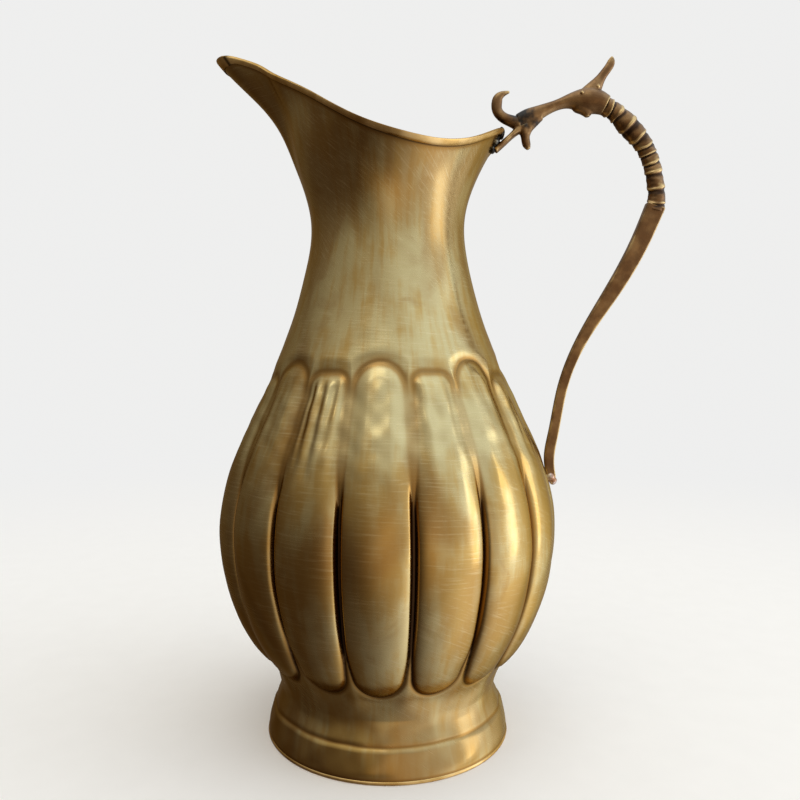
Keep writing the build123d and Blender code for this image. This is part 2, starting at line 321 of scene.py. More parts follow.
edge_radius, edge_height = mouth_functions()
SPOUT_CROWDING = 0.72
NECK_COLUMNS = 520
NECK_ROWS = 150
NECK_INSIDE_DIRT = 0.35
BAND_COLUMNS = 720
BAND_DEPTH = 2.0         # of the edging strip, on both faces of the sheet
BAND_THICKNESS = 0.50
BAND_RISE = 0.55         # how far the fold stands past the sheet's edge
BAND_TUCK = 0.22         # how far the strip's ends reach into the sheet, so that no gap shows
TIP_EXTRA_DEPTH = 1.9
TIP_FOLD = 0.135         # how far round from the spout's tip the strip is folded thick, radians


def mouth_angles(count):
    """Angles once round the jug, crowded near the spout, where the edge turns sharply."""
    even = np.linspace(0, tau, count, endpoint=False)
    return even + SPOUT_CROWDING * np.sin(even)


def sheet_points(angle, height, inset=0.0):
    """Points of the neck and mouth sheet at angles and heights."""
    top = edge_height(angle)
    rise = np.maximum(0.0, (height - FLARE_HEIGHT) / (top - FLARE_HEIGHT))
    radius = body_radius(height) + (edge_radius(angle) - body_radius(top)) * rise ** FLARE_POWER
    radius = radius - inset
    x = radius * np.cos(angle)
    y = radius * np.sin(angle)
    ripple = 0.12 * waves(x, y, 0.4 * height, 24.0, 7) + 0.07 * waves(x, y, 0.25 * height, 11.0, 8)
    ripple *= smooth(JOINT_HEIGHT, JOINT_HEIGHT + 8, height) * (1 - smooth(top - 6, top, height))
    radius = radius + ripple
    return np.stack([radius * np.cos(angle), radius * np.sin(angle), height], axis=-1)


def make_neck():
    """Upper sheet: outer face upwards, inner face back down with a third of the rows."""
    angles = mouth_angles(NECK_COLUMNS)
    levels = np.linspace(0, 1, NECK_ROWS)
    level, angle = np.meshgrid(levels, angles, indexing="ij")
    height = JOINT_HEIGHT + level * (edge_height(angle) - JOINT_HEIGHT)
    outer = sheet_points(angle, height)
    inner = sheet_points(angle[::-3], height[::-3], SHEET)
    inner[-1] = sheet_points(angle[:1], height[:1], SHEET)[0]
    points = np.concatenate([outer, inner])
    # painted shadow line on the neck just under the edging strip
    below = edge_height(angle) - height - BAND_DEPTH
    band_shadow = np.exp(-np.maximum(below, 0) / 1.3)
    dirt_and_shade = np.concatenate([band_shadow, np.full(inner.shape[:2], NECK_INSIDE_DIRT)])
    return grid_mesh("neck", points, marks={"dirt_and_shade": dirt_and_shade})


def make_rim_band():
    """Edging strip folded over the mouth's edge, deeper and pinched at the spout's tip."""
    angles = mouth_angles(BAND_COLUMNS)
    top = edge_height(angles)
    turned = np.abs(angles - pi)
    depth = BAND_DEPTH + TIP_EXTRA_DEPTH * (1 - smooth(0.10, 0.15, turned))
    thick = BAND_THICKNESS + 0.16 * np.exp(-((turned - TIP_FOLD) / 0.018) ** 2)
    radial = np.stack([np.cos(angles), np.sin(angles), np.zeros_like(angles)], axis=-1)
    outer_low = sheet_points(angles, top - depth)
    outer_top = sheet_points(angles, top)
    inner_low = sheet_points(angles, top - depth, SHEET)
    inner_top = sheet_points(angles, top, SHEET)
    along = unit(outer_top - outer_low)
    run = np.sum(along * radial, axis=-1, keepdims=True)
    outward = unit(radial * along[:, 2:] - np.array([0, 0, 1.0]) * run)
    side = outward * thick[:, None]
    past = along * BAND_RISE
    tuck = outward * BAND_TUCK
    sections = [
        outer_low - tuck, outer_low + 0.8 * side, outer_low + 0.10 * along + side,
        outer_low + 0.5 * (outer_top - outer_low) + 1.08 * side,
        outer_top + side * 0.98, outer_top + side * 0.72 + past * 0.72,
        0.5 * (outer_top + inner_top) + past, inner_top - side * 0.72 + past * 0.72,
        inner_top - side * 0.98, inner_low - side, inner_low + tuck]
    points = np.stack(sections)
    # a dark seam beside the spout's fold; the strip's two lowest rows are painted dark as the
    # shadow line under its edge
    beside_fold = 0.75 * np.exp(-((turned - 0.118) / 0.012) ** 2)
    dirt_and_shade = np.broadcast_to(beside_fold, points.shape[:2]).copy()
    dirt_and_shade[:2] = 1.0
    return grid_mesh("mouth_edging", points, marks={"dirt_and_shade": dirt_and_shade})


# ---- foot ----
FOOT_RADIUS = 54.2
FOOT_CONE = [(0.0, 54.3), (4.0, 54.1), (9.0, 53.0), (14.0, 51.4), (18.0, 49.7), (23.0, 48.0)]
FOOT_STEP_HEIGHT = 12.3
FOOT_STEP = 0.45
FOOT_GROOVE = 0.25       # depth of the groove just above the step
FOOT_DENTS = 0.26
FOOT_COLUMNS = 480
HEM_THICKNESS = 0.6
HEM_HEIGHT = 1.8
# rows of the foot's mesh, crowded at the step
FOOT_ROWS = [(HEM_THICKNESS, 10, 14), (10, 16, 36), (16, WAIST_HEIGHT, 16)]
FOOT_INSIDE_DIRT = 0.6


def revolve(name, outline, dents=0.0, dirt_and_shade=0.0):
    """Turn a closed (radius, height) outline about the axis, dented between hem and waist."""
    angles = np.linspace(0, tau, FOOT_COLUMNS, endpoint=False)
    radius, height = np.repeat(np.array(outline).T[..., None], FOOT_COLUMNS, axis=2)
    if dents:
        x = radius * np.cos(angles)
        y = radius * np.sin(angles)
        uneven = waves(x, y, 2.0 * height, 26.0, 41) + 0.5 * waves(x, y, 1.5 * height, 12.0, 42)
        uneven = uneven * smooth(HEM_HEIGHT, 5, height) * smooth(WAIST_HEIGHT, 19, height)
        radius = radius + dents * uneven
    points = np.stack([radius * np.cos(angles), radius * np.sin(angles), height], axis=-1)
    return grid_mesh(name, points, marks={"dirt_and_shade": np.reshape(dirt_and_shade, (-1, 1))})


def foot_radius(height):
    """Outer radius of the foot: a cone with one swaged step."""
    step = FOOT_STEP * smooth(FOOT_STEP_HEIGHT - 0.9, FOOT_STEP_HEIGHT + 1.2, height)
    groove = FOOT_GROOVE * np.exp(-((height - FOOT_STEP_HEIGHT - 1.3) / 0.9) ** 2)
    return cubic(FOOT_CONE)(height) - step - groove + waist_fillet(height)


def make_foot():
    """Foot sheet: outer face upwards, inner face back down, painted darker at the step and just
    above the hem.
    """
    heights = row_heights(FOOT_ROWS)
    outside = np.stack([foot_radius(heights), heights], axis=-1)
    inside = outside[::-1] - np.array([SHEET, 0.0])
    crease = 0.5 * np.exp(-((heights - FOOT_STEP_HEIGHT - 1.2) / 0.7) ** 2)
    crease += 0.6 * np.exp(-(heights - HEM_HEIGHT) ** 2 / 0.8)
    dirt_and_shade = np.concatenate([crease, np.full(len(heights), FOOT_INSIDE_DIRT)])
    return revolve("foot", np.concatenate([outside, inside]), FOOT_DENTS, dirt_and_shade)


def make_hem():
    """Rounded strip folded over the foot's lower edge."""
    outside = FOOT_RADIUS + 0.7 * HEM_THICKNESS
    inside = FOOT_RADIUS - SHEET - HEM_THICKNESS
    middle = (outside + inside) / 2
    half = (outside - inside) / 2
    turns = np.linspace(-pi / 2, 3 * pi / 2, 16, endpoint=False)
    outline = [(middle + half * cos(turn), 0.5 * HEM_HEIGHT * (1 + sin(turn))) for turn in turns]
    return revolve("foot_edging", outline)


# ---- handle ----
# the horn's middle line, (x, z, radius), and the tail bar's, (x, z, height of its section)
GRIP = [(96.2, 281.2, 4.3), (102.1, 277.3, 4.1), (107.2, 271.9, 4.8), (111.9, 266.3, 4.4),
        (116.0, 259.6, 3.9), (118.3, 252.7, 3.8), (119.7, 244.8, 3.8), (120.1, 239.0, 3.9),
        (119.4, 233.6, 4.1)]
TAIL = [(119.6, 236.0, 8.3), (113.0, 220.2, 7.8), (101.4, 198.9, 6.8), (88.2, 177.4, 5.0),
        (79.5, 156.0, 4.4), (75.2, 134.0, 4.5), (73.5, 121.0, 4.4), (74.7, 114.0, 3.8)]
# round branches of the casting: (x, z, half height, half depth)
BRANCHES = {
    "curl": [(59.5, 273.4, 3.2, 2.8), (55.6, 274.9, 2.6, 2.5), (51.9, 276.7, 2.3, 2.2),
             (49.5, 279.6, 2.3, 2.1), (49.2, 282.9, 2.4, 2.0), (50.0, 285.5, 2.1, 1.8),
             (52.0, 287.0, 1.3, 1.5), (54.8, 287.8, 0.5, 0.9)],
    "strap": [(60.0, 271.9, 2.4, 2.6), (57.0, 269.3, 1.5, 2.4), (52.6, 265.4, 1.4, 2.4),
              (48.6, 261.7, 1.3, 2.3)],
    "leaf": [(61.0, 272.5, 3.3, 2.8), (61.9, 268.8, 2.2, 2.3), (62.2, 266.0, 1.9, 2.0),
             (62.8, 263.8, 1.7, 1.7), (63.6, 262.2, 0.8, 1.0)],
    "muzzle": [(58.8, 274.6, 3.3, 2.8), (62.6, 276.0, 3.9, 3.1), (67.4, 278.1, 3.3, 2.9),
               (71.5, 279.9, 2.6, 2.6), (75.8, 281.5, 2.3, 2.6), (81.6, 283.1, 3.3, 3.3),
               (88.2, 283.2, 5.5, 4.5), (93.5, 282.5, 5.3, 4.8), (97.5, 280.8, 4.3, 4.3)],
    "jaw": [(87.4, 282.5, 5.6, 3.6), (88.6, 280.0, 4.9, 3.2), (89.2, 277.9, 3.0, 2.4),
            (89.4, 276.0, 0.9, 1.2)],
    "fillet": [(68.5, 277.2, 2.4, 2.4), (65.2, 274.6, 2.9, 2.5), (62.9, 271.4, 2.5, 2.3),
               (62.2, 268.0, 1.8, 2.0)],
    "ear": [(90.0, 285.6, 4.4, 3.0), (92.8, 289.4, 3.3, 2.3), (95.1, 292.8, 2.2, 1.6),
            (97.3, 295.9, 1.9, 1.3), (99.2, 298.7, 1.85, 1.1), (99.9, 300.9, 1.4, 0.9),
            (100.1, 302.4, 0.4, 0.5)],
}
# small rounded bumps on each side of the head: (x, depth, z, radius)
BUMPS = [(86.3, 3.9, 285.4, 0.75), (93.6, 1.7, 288.6, 1.0)]
RINGS = 11
RING_EDGE = 0.28         # how far a ring's crisp edge stands out
RING_GROOVE = 0.50
BAR_CORNERS = 7.0        # power of the bar's rounded oblong; 2 would be an oval
THINNEST = 0.35          # least half size of a branch, so that fusing it can't lose it
SIDEWAYS = np.array([0, 1.0, 0])


def path_frame(points, stations):
    """Places along a path in the mirror plane, its middle line, its up side and its sizes."""
    data = np.array(points, float)
    lengths = np.concatenate([[0], np.cumsum(np.hypot(*np.diff(data[:, :2], axis=0).T))])
    places = np.linspace(0, lengths[-1], stations)
    columns = [cubic(list(zip(lengths, data[:, i])))(places) for i in range(data.shape[1])]
    centre = np.stack([columns[0], np.zeros(stations), columns[1]], axis=-1)
    ahead = unit(np.gradient(centre, axis=0))
    lift = np.stack([-ahead[:, 2], np.zeros(stations), ahead[:, 0]], axis=-1)
    return places, centre, lift, columns[2:]


def capped_tube(name, rings, marks=None):
    """Closed mesh through rings of points, with a point at each end."""
    first = np.broadcast_to(rings[0].mean(axis=0), rings[0].shape)
    last = np.broadcast_to(rings[-1].mean(axis=0), rings[-1].shape)
    marks = {mark: np.pad(values, ((1, 1), (0, 0)), mode="edge")
             for mark, values in (marks or {}).items()}
    return grid_mesh(name, np.concatenate([[first], rings, [last]]), along=False, marks=marks)


def oval_rings(centre, lift, half_height, half_depth, columns=28, power=2.0):
    """Rings across a path, from ovals to oblongs with rounded corners as power grows."""
    angle = np.linspace(0, tau, columns, endpoint=False)
    across = np.sign(np.cos(angle)) * np.abs(np.cos(angle)) ** (2 / power)
    along = np.sign(np.sin(angle)) * np.abs(np.sin(angle)) ** (2 / power)
    return (centre[:, None] + half_depth[:, None, None] * across[None, :, None] * SIDEWAYS
            + half_height[:, None, None] * along[None, :, None] * lift[:, None])


def make_branch(name, points):
    _, centre, lift, sizes = path_frame(points, 10 * len(points))
    half_height, half_depth = np.maximum(sizes, THINNEST)
    return capped_tube(name, oval_rings(centre, lift, half_height, half_depth))


def make_grip():
    """Ringed horn: uneven leaning rings, each with a crisp edge over a narrow groove."""
    places, centre, lift, sizes = path_frame(GRIP, 760)
    angle = np.linspace(0, tau, 64, endpoint=False)
    place = places[:, None] + 0.9 * np.cos(angle) + 0.5 * np.sin(angle + 0.02 * places[:, None])
    place = place + 0.40 * waves(np.cos(angle), np.sin(angle), places[:, None] * 0.4, 2.2, 12)
    phase = np.mod(place / places[-1] * RINGS + 0.35 * np.sin(place * 0.21), 1.0)
    groove = np.clip(np.exp(-(phase / 0.26) ** 2) + np.exp(-((1 - phase) / 0.07) ** 2), 0, 1)
    groove *= 1 - smooth(places[-1] - 3.5, places[-1] - 1.5, place)
    edge = np.exp(-((phase - 0.84) / 0.12) ** 2)
    facing = 0.5 + 0.5 * np.abs(np.cos(angle))
    ripple = 0.09 * waves(np.cos(angle) * 3, np.sin(angle) * 3, places[:, None], 2.6, 14)
    radius = sizes[0][:, None] - 0.10 + facing * (RING_EDGE * edge - RING_GROOVE * groove) + ripple
    rings = (centre[:, None] + (radius * 0.92 * np.cos(angle))[..., None] * SIDEWAYS
             + (radius * np.sin(angle))[..., None] * lift[:, None])
    patchy = 0.03 * waves(np.cos(angle) * 3, np.sin(angle) * 3, places[:, None], 4.5, 15)
    wear_and_highlight = 0.10 * edge + 0.02 + patchy - 0.16 * groove + 0.27 * ripple * (1 - groove)
    return capped_tube("grip", rings, {"wear_and_highlight": wear_and_highlight})


def make_tail():
    """Slim bar from the horn down to the bulb, a little less deep than high."""
    _, centre, lift, sizes = path_frame(TAIL, 200)
    half = sizes[0] / 2
    return capped_tube("tail", oval_rings(centre, lift, half, 0.75 * half, 64, BAR_CORNERS))


def merge(pieces, name):
    """Join several closed meshes into one object."""
    vertices = []
    faces = []
    for piece in pieces:
        start = len(vertices)
        vertices += [tuple(v.co) for v in piece.data.vertices]
        faces += [[start + i for i in face.vertices] for face in piece.data.polygons]
        bpy.data.objects.remove(piece)
    mesh = bpy.data.meshes.new(name)
    mesh.from_pydata(vertices, [], faces)
    piece = bpy.data.objects.new(name, mesh)
    bpy.context.scene.collection.objects.link(piece)
    return piece


def cast_together(piece, voxel, smoothing):
    """Fuse overlapping meshes into one cast skin and round its inside corners."""
    remesh = piece.modifiers.new("fuse", "REMESH")
    remesh.mode = "VOXEL"
    remesh.voxel_size = voxel * MM
    soften = piece.modifiers.new("soften", "SMOOTH")
    soften.factor = 0.5
    soften.iterations = smoothing
    graph = bpy.context.evaluated_depsgraph_get()
    mesh = bpy.data.meshes.new_from_object(piece.evaluated_get(graph))
    piece.modifiers.clear()
    piece.data = mesh


def mark_wear_and_highlight(piece, reach):
    """Write how far each point stands out (+) or lies in (-) as the mesh mark "wear".

    The tail bar's outer, right-facing side is raised on top of that: a rubbed edge and a painted
    highlight where the window light falls.
    """
    mesh = piece.data
    count = len(mesh.vertices)
    places = np.zeros(count * 3)
    mesh.vertices.foreach_get("co", places)
    places = places.reshape(-1, 3) / MM
    normals = np.zeros(count * 3)
    mesh.vertices.foreach_get("normal", normals)
    edges = np.zeros(len(mesh.edges) * 2, dtype=int)
    mesh.edges.foreach_get("vertices", edges)
    first, second = edges.reshape(-1, 2).T
    links = np.bincount(first, minlength=count) + np.bincount(second, minlength=count)
    links = np.maximum(links, 1)[:, None]

    def spread(values):
        total = np.zeros_like(values)
        np.add.at(total, first, values[second])
        np.add.at(total, second, values[first])
        return total / links

    around = places
    for _ in range(reach):
        around = 0.5 * around + 0.5 * spread(around)
    wear_and_highlight = np.sum((places - around) * normals.reshape(-1, 3), axis=1)[:, None]
    for _ in range(2):
        wear_and_highlight = 0.5 * wear_and_highlight + 0.5 * spread(wear_and_highlight)
    # painted highlight, with some rubbing, on the tail bar's side that faces +x, towards the
    # window light
    outside = smooth(0.30, 0.75, normals[::3]) * (1 - smooth(230, 238, places[:, 2]))
    wear_and_highlight[:, 0] += 0.10 * outside * smooth(75, 78, places[:, 0] + 0.02 * places[:, 2])
    layer = mesh.attributes.new("wear_and_highlight", "FLOAT", "POINT")
    layer.data.foreach_set("value", wear_and_highlight[:, 0].astype(np.float32))


def make_handle():
    """The whole casting: branches, tail and bumps fused, and the ringed grip joined on."""
    pieces = [make_branch(name, points) for name, points in BRANCHES.items()]
    pieces.append(make_tail())
    for x, depth, z, radius in BUMPS:
        for side in (-1, 1):
            pieces.append(make_blob("bump", (x, side * depth, z), (radius,) * 3, 1, 0.0))
    casting = merge(pieces, "casting")
    cast_together(casting, voxel=0.26, smoothing=3)
    mark_wear_and_highlight(casting, reach=9)
    grip = make_grip()
    both = [casting, grip]
    with bpy.context.temp_override(active_object=casting, selected_editable_objects=both):
        bpy.ops.object.join()
    casting.name = "handle"
    return casting


# ---- solder ----
# lumps: (centre, half sizes, seed, unevenness)
UPPER_LUMPS = [
    ((47.2, 0.0, 262.4), (1.4, 2.6, 2.2), 21, 0.10),
    ((49.0, 0.3, 265.6), (1.7, 3.0, 3.0), 22, 0.10),
    ((51.4, -0.2, 269.6), (1.5, 2.9, 2.8), 23, 0.10),
]
LOWER_LUMPS = [
    ((74.0, 0.0, 114.6), (2.1, 2.5, 2.3), 31, 0.05),
    ((75.3, 0.0, 112.8), (1.6, 2.0, 2.0), 32, 0.08),
]


def make_blob(name, centre, sizes, seed, unevenness):
    """Ellipsoid with an uneven skin, for lumps of solder and the bumps on the head."""
    turn = np.linspace(0, tau, 32, endpoint=False)
    tilt = np.linspace(-pi / 2, pi / 2, 18)[1:-1]
    tilt, turn = np.meshgrid(tilt, turn, indexing="ij")
    x, y, z = np.cos(tilt) * np.cos(turn), np.cos(tilt) * np.sin(turn), np.sin(tilt)
    lumps = 1 + unevenness * waves(x, y, z, 1.6, seed)
    rings = np.array(centre) + np.stack([x, y, z], axis=-1) * np.array(sizes) * lumps[..., None]
    return capped_tube(name, rings)


def make_solder(name, lumps, voxel, smoothing):
    joint = merge([make_blob("lump", *lump) for lump in lumps], name)
    cast_together(joint, voxel, smoothing)
    return joint


# ---- materials ----
UNROLL_RADIUS = 55.0     # strokes keep their true length at this distance from the axis


class Paint:
    """Small builder for a node material with one Principled shader."""

    def __init__(self, name):
        self.material = bpy.data.materials.new(name)
        self.material.use_nodes = True
        self.nodes = self.material.node_tree.nodes
        self.links = self.material.node_tree.links
        self.shader = self.nodes["Principled BSDF"]
        self.where = self.add("ShaderNodeTexCoord").outputs["Object"]
        split = self.add("ShaderNodeSeparateXYZ")
        self.join(self.where, split.inputs["Vector"])
        self.axes = split.outputs

    def add(self, kind, **settings):
        node = self.nodes.new(kind)
        for key, value in settings.items():
            setattr(node, key, value)
        return node

    def join(self, source, socket):
        self.links.new(source, socket)

    def around(self, scale, tilt=0.0):
        """Position unrolled round the jug's axis, tilted and then scaled, for tool strokes."""
        angle = self.math("ARCTAN2", self.axes["Y"], self.axes["X"])
        flat = self.add("ShaderNodeCombineXYZ")
        self.join(self.math("MULTIPLY", angle, UNROLL_RADIUS * MM), flat.inputs["X"])
        self.join(self.axes["Z"], flat.inputs["Y"])
        tilted = self.add("ShaderNodeMapping")
        tilted.inputs["Rotation"].default_value = (0, 0, radians(tilt))
        self.join(flat.outputs["Vector"], tilted.inputs["Vector"])
        scaled = self.add("ShaderNodeMapping")
        scaled.inputs["Scale"].default_value = (*scale, 1)
        self.join(tilted.outputs["Vector"], scaled.inputs["Vector"])
        return scaled.outputs["Vector"]

    def noise(self, scale, detail=3.0, rough=0.55, vector=None, distortion=0.0):
        node = self.add("ShaderNodeTexNoise")
        node.inputs["Scale"].default_value = scale
        node.inputs["Detail"].default_value = detail
        node.inputs["Roughness"].default_value = rough
        node.inputs["Distortion"].default_value = distortion
        self.join(vector or self.where, node.inputs["Vector"])
        return node.outputs["Fac"]

    def ramp(self, value, low, high, start=0.0, end=1.0):
        node = self.add("ShaderNodeMapRange", interpolation_type="SMOOTHSTEP")
        self.join(value, node.inputs["Value"])
        node.inputs["From Min"].default_value = low
        node.inputs["From Max"].default_value = high
        node.inputs["To Min"].default_value = start
        node.inputs["To Max"].default_value = end
        return node.outputs["Result"]

    def height(self, low, high, start=0.0, end=1.0):
        """Ramp between two heights above the jug's foot, in millimetres."""
        return self.ramp(self.axes["Z"], low * MM, high * MM, start, end)

    def math(self, operation, a, b=0.0):
        node = self.add("ShaderNodeMath", operation=operation)
        for value, socket in ((a, node.inputs[0]), (b, node.inputs[1])):
            if isinstance(value, (int, float)):
                socket.default_value = value
            else:
                self.join(value, socket)
        return node.outputs["Value"]

    def mix(self, share, a, b):
        node = self.add("ShaderNodeMix", data_type="RGBA")
        for value, socket in ((share, node.inputs[0]), (a, node.inputs[6]), (b, node.inputs[7])):
            if isinstance(value, (int, float)):
                socket.default_value = value
            elif isinstance(value, tuple):
                socket.default_value = (*value, 1.0)
            else:
                self.join(value, socket)
        return node.outputs[2]

    def mark(self, name):
        return self.add("ShaderNodeAttribute", attribute_name=name).outputs["Fac"]

    def bump(self, height, strength, distance):
        node = self.add("ShaderNodeBump")
        node.inputs["Strength"].default_value = strength
        node.inputs["Distance"].default_value = distance * MM
        self.join(height, node.inputs["Height"])
        return node.outputs["Normal"]

    def set(self, **values):
        """Set or join inputs of the shader, with _ for the spaces in their names."""
        for name, value in values.items():
            socket = self.shader.inputs[name.replace("_", " ")]
            if isinstance(value, (int, float)):
                socket.default_value = value
            elif isinstance(value, tuple):
                socket.default_value = (*value, 1.0)
            else:
                self.join(value, socket)


PLAIN = (0.5, 0.5, 0.5)
AMBER = (0.42, 0.268, 0.082)
OLIVE = (0.48, 0.385, 0.185)
TARNISH = (0.275, 0.150, 0.046)
SCRATCHED = (0.66, 0.55, 0.32)
STAIN_AND_SHADE = (0.27, 0.140, 0.034)
GRIME_AND_SHADE = (0.050, 0.024, 0.009)
WARM_RIM = (0.84, 0.70, 0.46)            # keeps the jug's outline golden instead of grey
EDGE_BROWN = (0.46, 0.28, 0.09)
EDGE_RUBBED = (0.66, 0.45, 0.19)
EDGE_SHADOW_AND_SEAM = (0.03, 0.016, 0.008)
EDGE_RIM = (0.84, 0.66, 0.40)
CAST_DARK = (0.145, 0.072, 0.027)
CAST_BROWN = (0.25, 0.14, 0.056)
CAST_WORN_AND_HIGHLIGHT = (0.56, 0.39, 0.17)
CAST_HOLLOW = (0.022, 0.010, 0.005)
SOOT = (0.022, 0.020, 0.018)
SOLDER_GREY = (0.42, 0.42, 0.36)
SOLDER_SOOTY = (0.02, 0.017, 0.015)
SOLDER_PINK = (0.62, 0.55, 0.52)
SOLDER_COPPERY = (0.35, 0.18, 0.10)
SOOT_CENTRE = (61.5 * MM, 0, 275.0 * MM)  # where strap, leaf and muzzle meet
INSIDE_DARK = (0.22, 0.13, 0.05)
INSIDE_PALE = (0.42, 0.28, 0.11)


def beaten_brass():
    """Antique brass sheet: stroked, cloudy, paler on the shoulder from patina and painted light
    from above, brown to black in the grooves from dirt and painted shade.
    """
    paint = Paint("beaten_brass")
    on_foot = paint.height(32, 20, 0.0, 0.75)
    cloud = paint.noise(24.0, 4.0, 0.6)
    drift = paint.noise(9.0, 2.0, 0.5)
    blotch = paint.noise(48.0, 3.0, 0.6, distortion=0.8)
    level = paint.noise(1.0, 3.0, 0.6, paint.around((90, 1500), 3))
    slant = paint.noise(1.0, 3.0, 0.6, paint.around((110, 1300), 32))
    strokes = paint.mix(paint.ramp(drift, 0.42, 0.58), level, slant)
    strokes = paint.mix(on_foot, strokes, PLAIN)
    runs = paint.noise(1.0, 3.0, 0.55, paint.around((240, 34)))
    dirt_and_shade = paint.mark("dirt_and_shade")
    # paler, greener tone on the shoulder: patina, and painted light where the shoulder faces up
    shoulder_patina_and_light = paint.math("MULTIPLY", paint.height(95, 145), paint.height(240, 185))
    tone = paint.math("ADD", cloud, paint.ramp(runs, 0.3, 0.7, -0.09, 0.09))
    tone = paint.math("ADD", tone, paint.math("MULTIPLY", shoulder_patina_and_light, 0.08))
    warm = paint.mix(paint.ramp(tone, 0.38, 0.66), AMBER, OLIVE)
    patches = paint.noise(1.0, 2.0, 0.5, paint.around((34, 15)), 0.6)
    upper = paint.height(195, 240, 0.0, 0.15)
    foot = paint.height(24, 16, 0.0, 0.07)
    tarnish = paint.math("ADD", paint.math("ADD", patches, upper), foot)
    warm = paint.mix(paint.ramp(tarnish, 0.50, 0.68, 0.0, 0.62), warm, TARNISH)
    warm = paint.mix(paint.ramp(blotch, 0.56, 0.76, 0.0, 0.38), warm, TARNISH)
    warm = paint.mix(paint.ramp(strokes, 0.50, 0.72, 0.0, 0.28), warm, SCRATCHED)
    # brown stain and near black in grooves and creases: dirt, and painted shade in the slits and
    # under the edging strip
    stain_and_shade = paint.ramp(dirt_and_shade, 0.08, 0.50, 0.0, 0.85)
    grime_and_shade = paint.ramp(dirt_and_shade, 0.45, 0.95)
    colour = paint.mix(grime_and_shade, paint.mix(stain_and_shade, warm, STAIN_AND_SHADE), GRIME_AND_SHADE)
    rough = paint.ramp(cloud, 0.3, 0.7, 0.175, 0.265)
    rough = paint.math("ADD", rough, paint.ramp(strokes, 0.3, 0.7, -0.03, 0.06))
    rough = paint.math("ADD", rough, paint.math("MULTIPLY", grime_and_shade, 0.15))
    normal = paint.bump(strokes, 0.22, 0.06)
    paint.set(Base_Color=colour, Metallic=1.0, Roughness=rough, Normal=normal,
              Specular_Tint=WARM_RIM, Coat_Weight=0.06, Coat_Roughness=0.20)
    return paint.material


def edge_brass():
    """Edging strip: the same brass in brown and rubbed patches, near black beside the spout's
    fold, where a seam runs, and along its lower edge as a painted shadow line.
    """
    paint = Paint("edge_brass")
    cloud = paint.noise(90.0, 3.0)
    dirt_and_shade = paint.mark("dirt_and_shade")
    warm = paint.mix(paint.ramp(cloud, 0.35, 0.65), EDGE_BROWN, EDGE_RUBBED)
    # near black along the strip's lower edge is a painted shadow line; beside the spout's fold it
    # is a dark seam
    colour = paint.mix(paint.ramp(dirt_and_shade, 0.2, 0.9), warm, EDGE_SHADOW_AND_SEAM)
    paint.set(Base_Color=colour, Metallic=1.0, Roughness=paint.ramp(cloud, 0.3, 0.7, 0.25, 0.38),
              Normal=paint.bump(cloud, 0.3, 0.1), Specular_Tint=EDGE_RIM)
    return paint.material


def cast_brass():
    """Dark brown casting, rubbed to gold on its ridges, with a painted highlight on the tail bar's
    right-facing side, black near the upper solder.
    """
    paint = Paint("cast_brass")
    grain = paint.noise(420.0, 4.0, 0.65)
    patch = paint.noise(120.0, 3.0)
    ridge = paint.math("ADD", paint.mark("wear_and_highlight"), paint.ramp(patch, 0.3, 0.7, -0.03, 0.03))
    # gold on rubbed ridges, and on the tail bar's right-facing side as a painted highlight
    worn_and_highlight = paint.ramp(ridge, 0.025, 0.11)
    hollow = paint.ramp(ridge, -0.02, -0.10)
    base = paint.mix(paint.ramp(patch, 0.35, 0.65), CAST_DARK, CAST_BROWN)
    base = paint.mix(worn_and_highlight, base, CAST_WORN_AND_HIGHLIGHT)
    base = paint.mix(paint.math("MULTIPLY", hollow, 0.85), base, CAST_HOLLOW)
    heat = paint.add("ShaderNodeVectorMath", operation="DISTANCE")
    paint.join(paint.where, heat.inputs[0])
    heat.inputs[1].default_value = SOOT_CENTRE
    ragged = paint.ramp(patch, 0.3, 0.7, -2.5 * MM, 2.5 * MM)
    soot = paint.math("ADD", heat.outputs["Value"], ragged)
    colour = paint.mix(paint.ramp(soot, 7.5 * MM, 3.5 * MM), base, SOOT)
    paint.set(Base_Color=colour, Metallic=1.0, Roughness=paint.ramp(grain, 0.3, 0.7, 0.32, 0.50),
              Normal=paint.bump(grain, 0.35, 0.12), Coat_Weight=0.2, Coat_Roughness=0.3)
    return paint.material


def solder(name, bright, dark, border):
    """Solder in bright and dark patches; the lower the border, the more is dark."""
    paint = Paint(name)
    grain = paint.noise(600.0, 4.0)
    patch = paint.noise(300.0, 2.0)
    colour = paint.mix(paint.ramp(patch, border - 0.1, border + 0.1), bright, dark)
    paint.set(Base_Color=colour, Metallic=0.9, Roughness=paint.ramp(grain, 0.3, 0.7, 0.25, 0.5),
              Normal=paint.bump(grain, 0.4, 0.15))
    return paint.material


def inside_brass():
    """Unpolished inside of the jug and the braze metal."""
    paint = Paint("inside_brass")
    cloud = paint.noise(35.0, 4.0, 0.65)
    colour = paint.mix(paint.ramp(cloud, 0.35, 0.65), INSIDE_DARK, INSIDE_PALE)
    paint.set(Base_Color=colour, Metallic=1.0, Roughness=paint.ramp(cloud, 0.3, 0.7, 0.40, 0.6),
              Normal=paint.bump(cloud, 0.3, 0.3))
    return paint.material


# ---- studio ----
CAMERA_TURN = radians(3.4)       # the camera stands this far round towards the handle
CAMERA_DISTANCE = 330.7
CAMERA_HEIGHT = 158.9
CAMERA_PITCH = radians(1.668)    # looking slightly down
CAMERA_SHIFT = 0.0155            # frames the jug a little left of the middle
CAMERA_LENS = 32.4
CAMERA_SENSOR = 36.0
AIM = Vector((0, 0, 150 * MM))   # what both lights point at
# (name, azimuth from the camera side, elevation, distance in m, size in m, watts, colour)
LIGHTS = [
    ("window", 82, 4, 1.1, (0.40, 0.9), 1.6, (0.97, 1.0, 1.0)),
    ("ceiling", -20, 62, 1.3, (0.6, 0.6), 1.1, (1.0, 0.99, 0.95)),
]


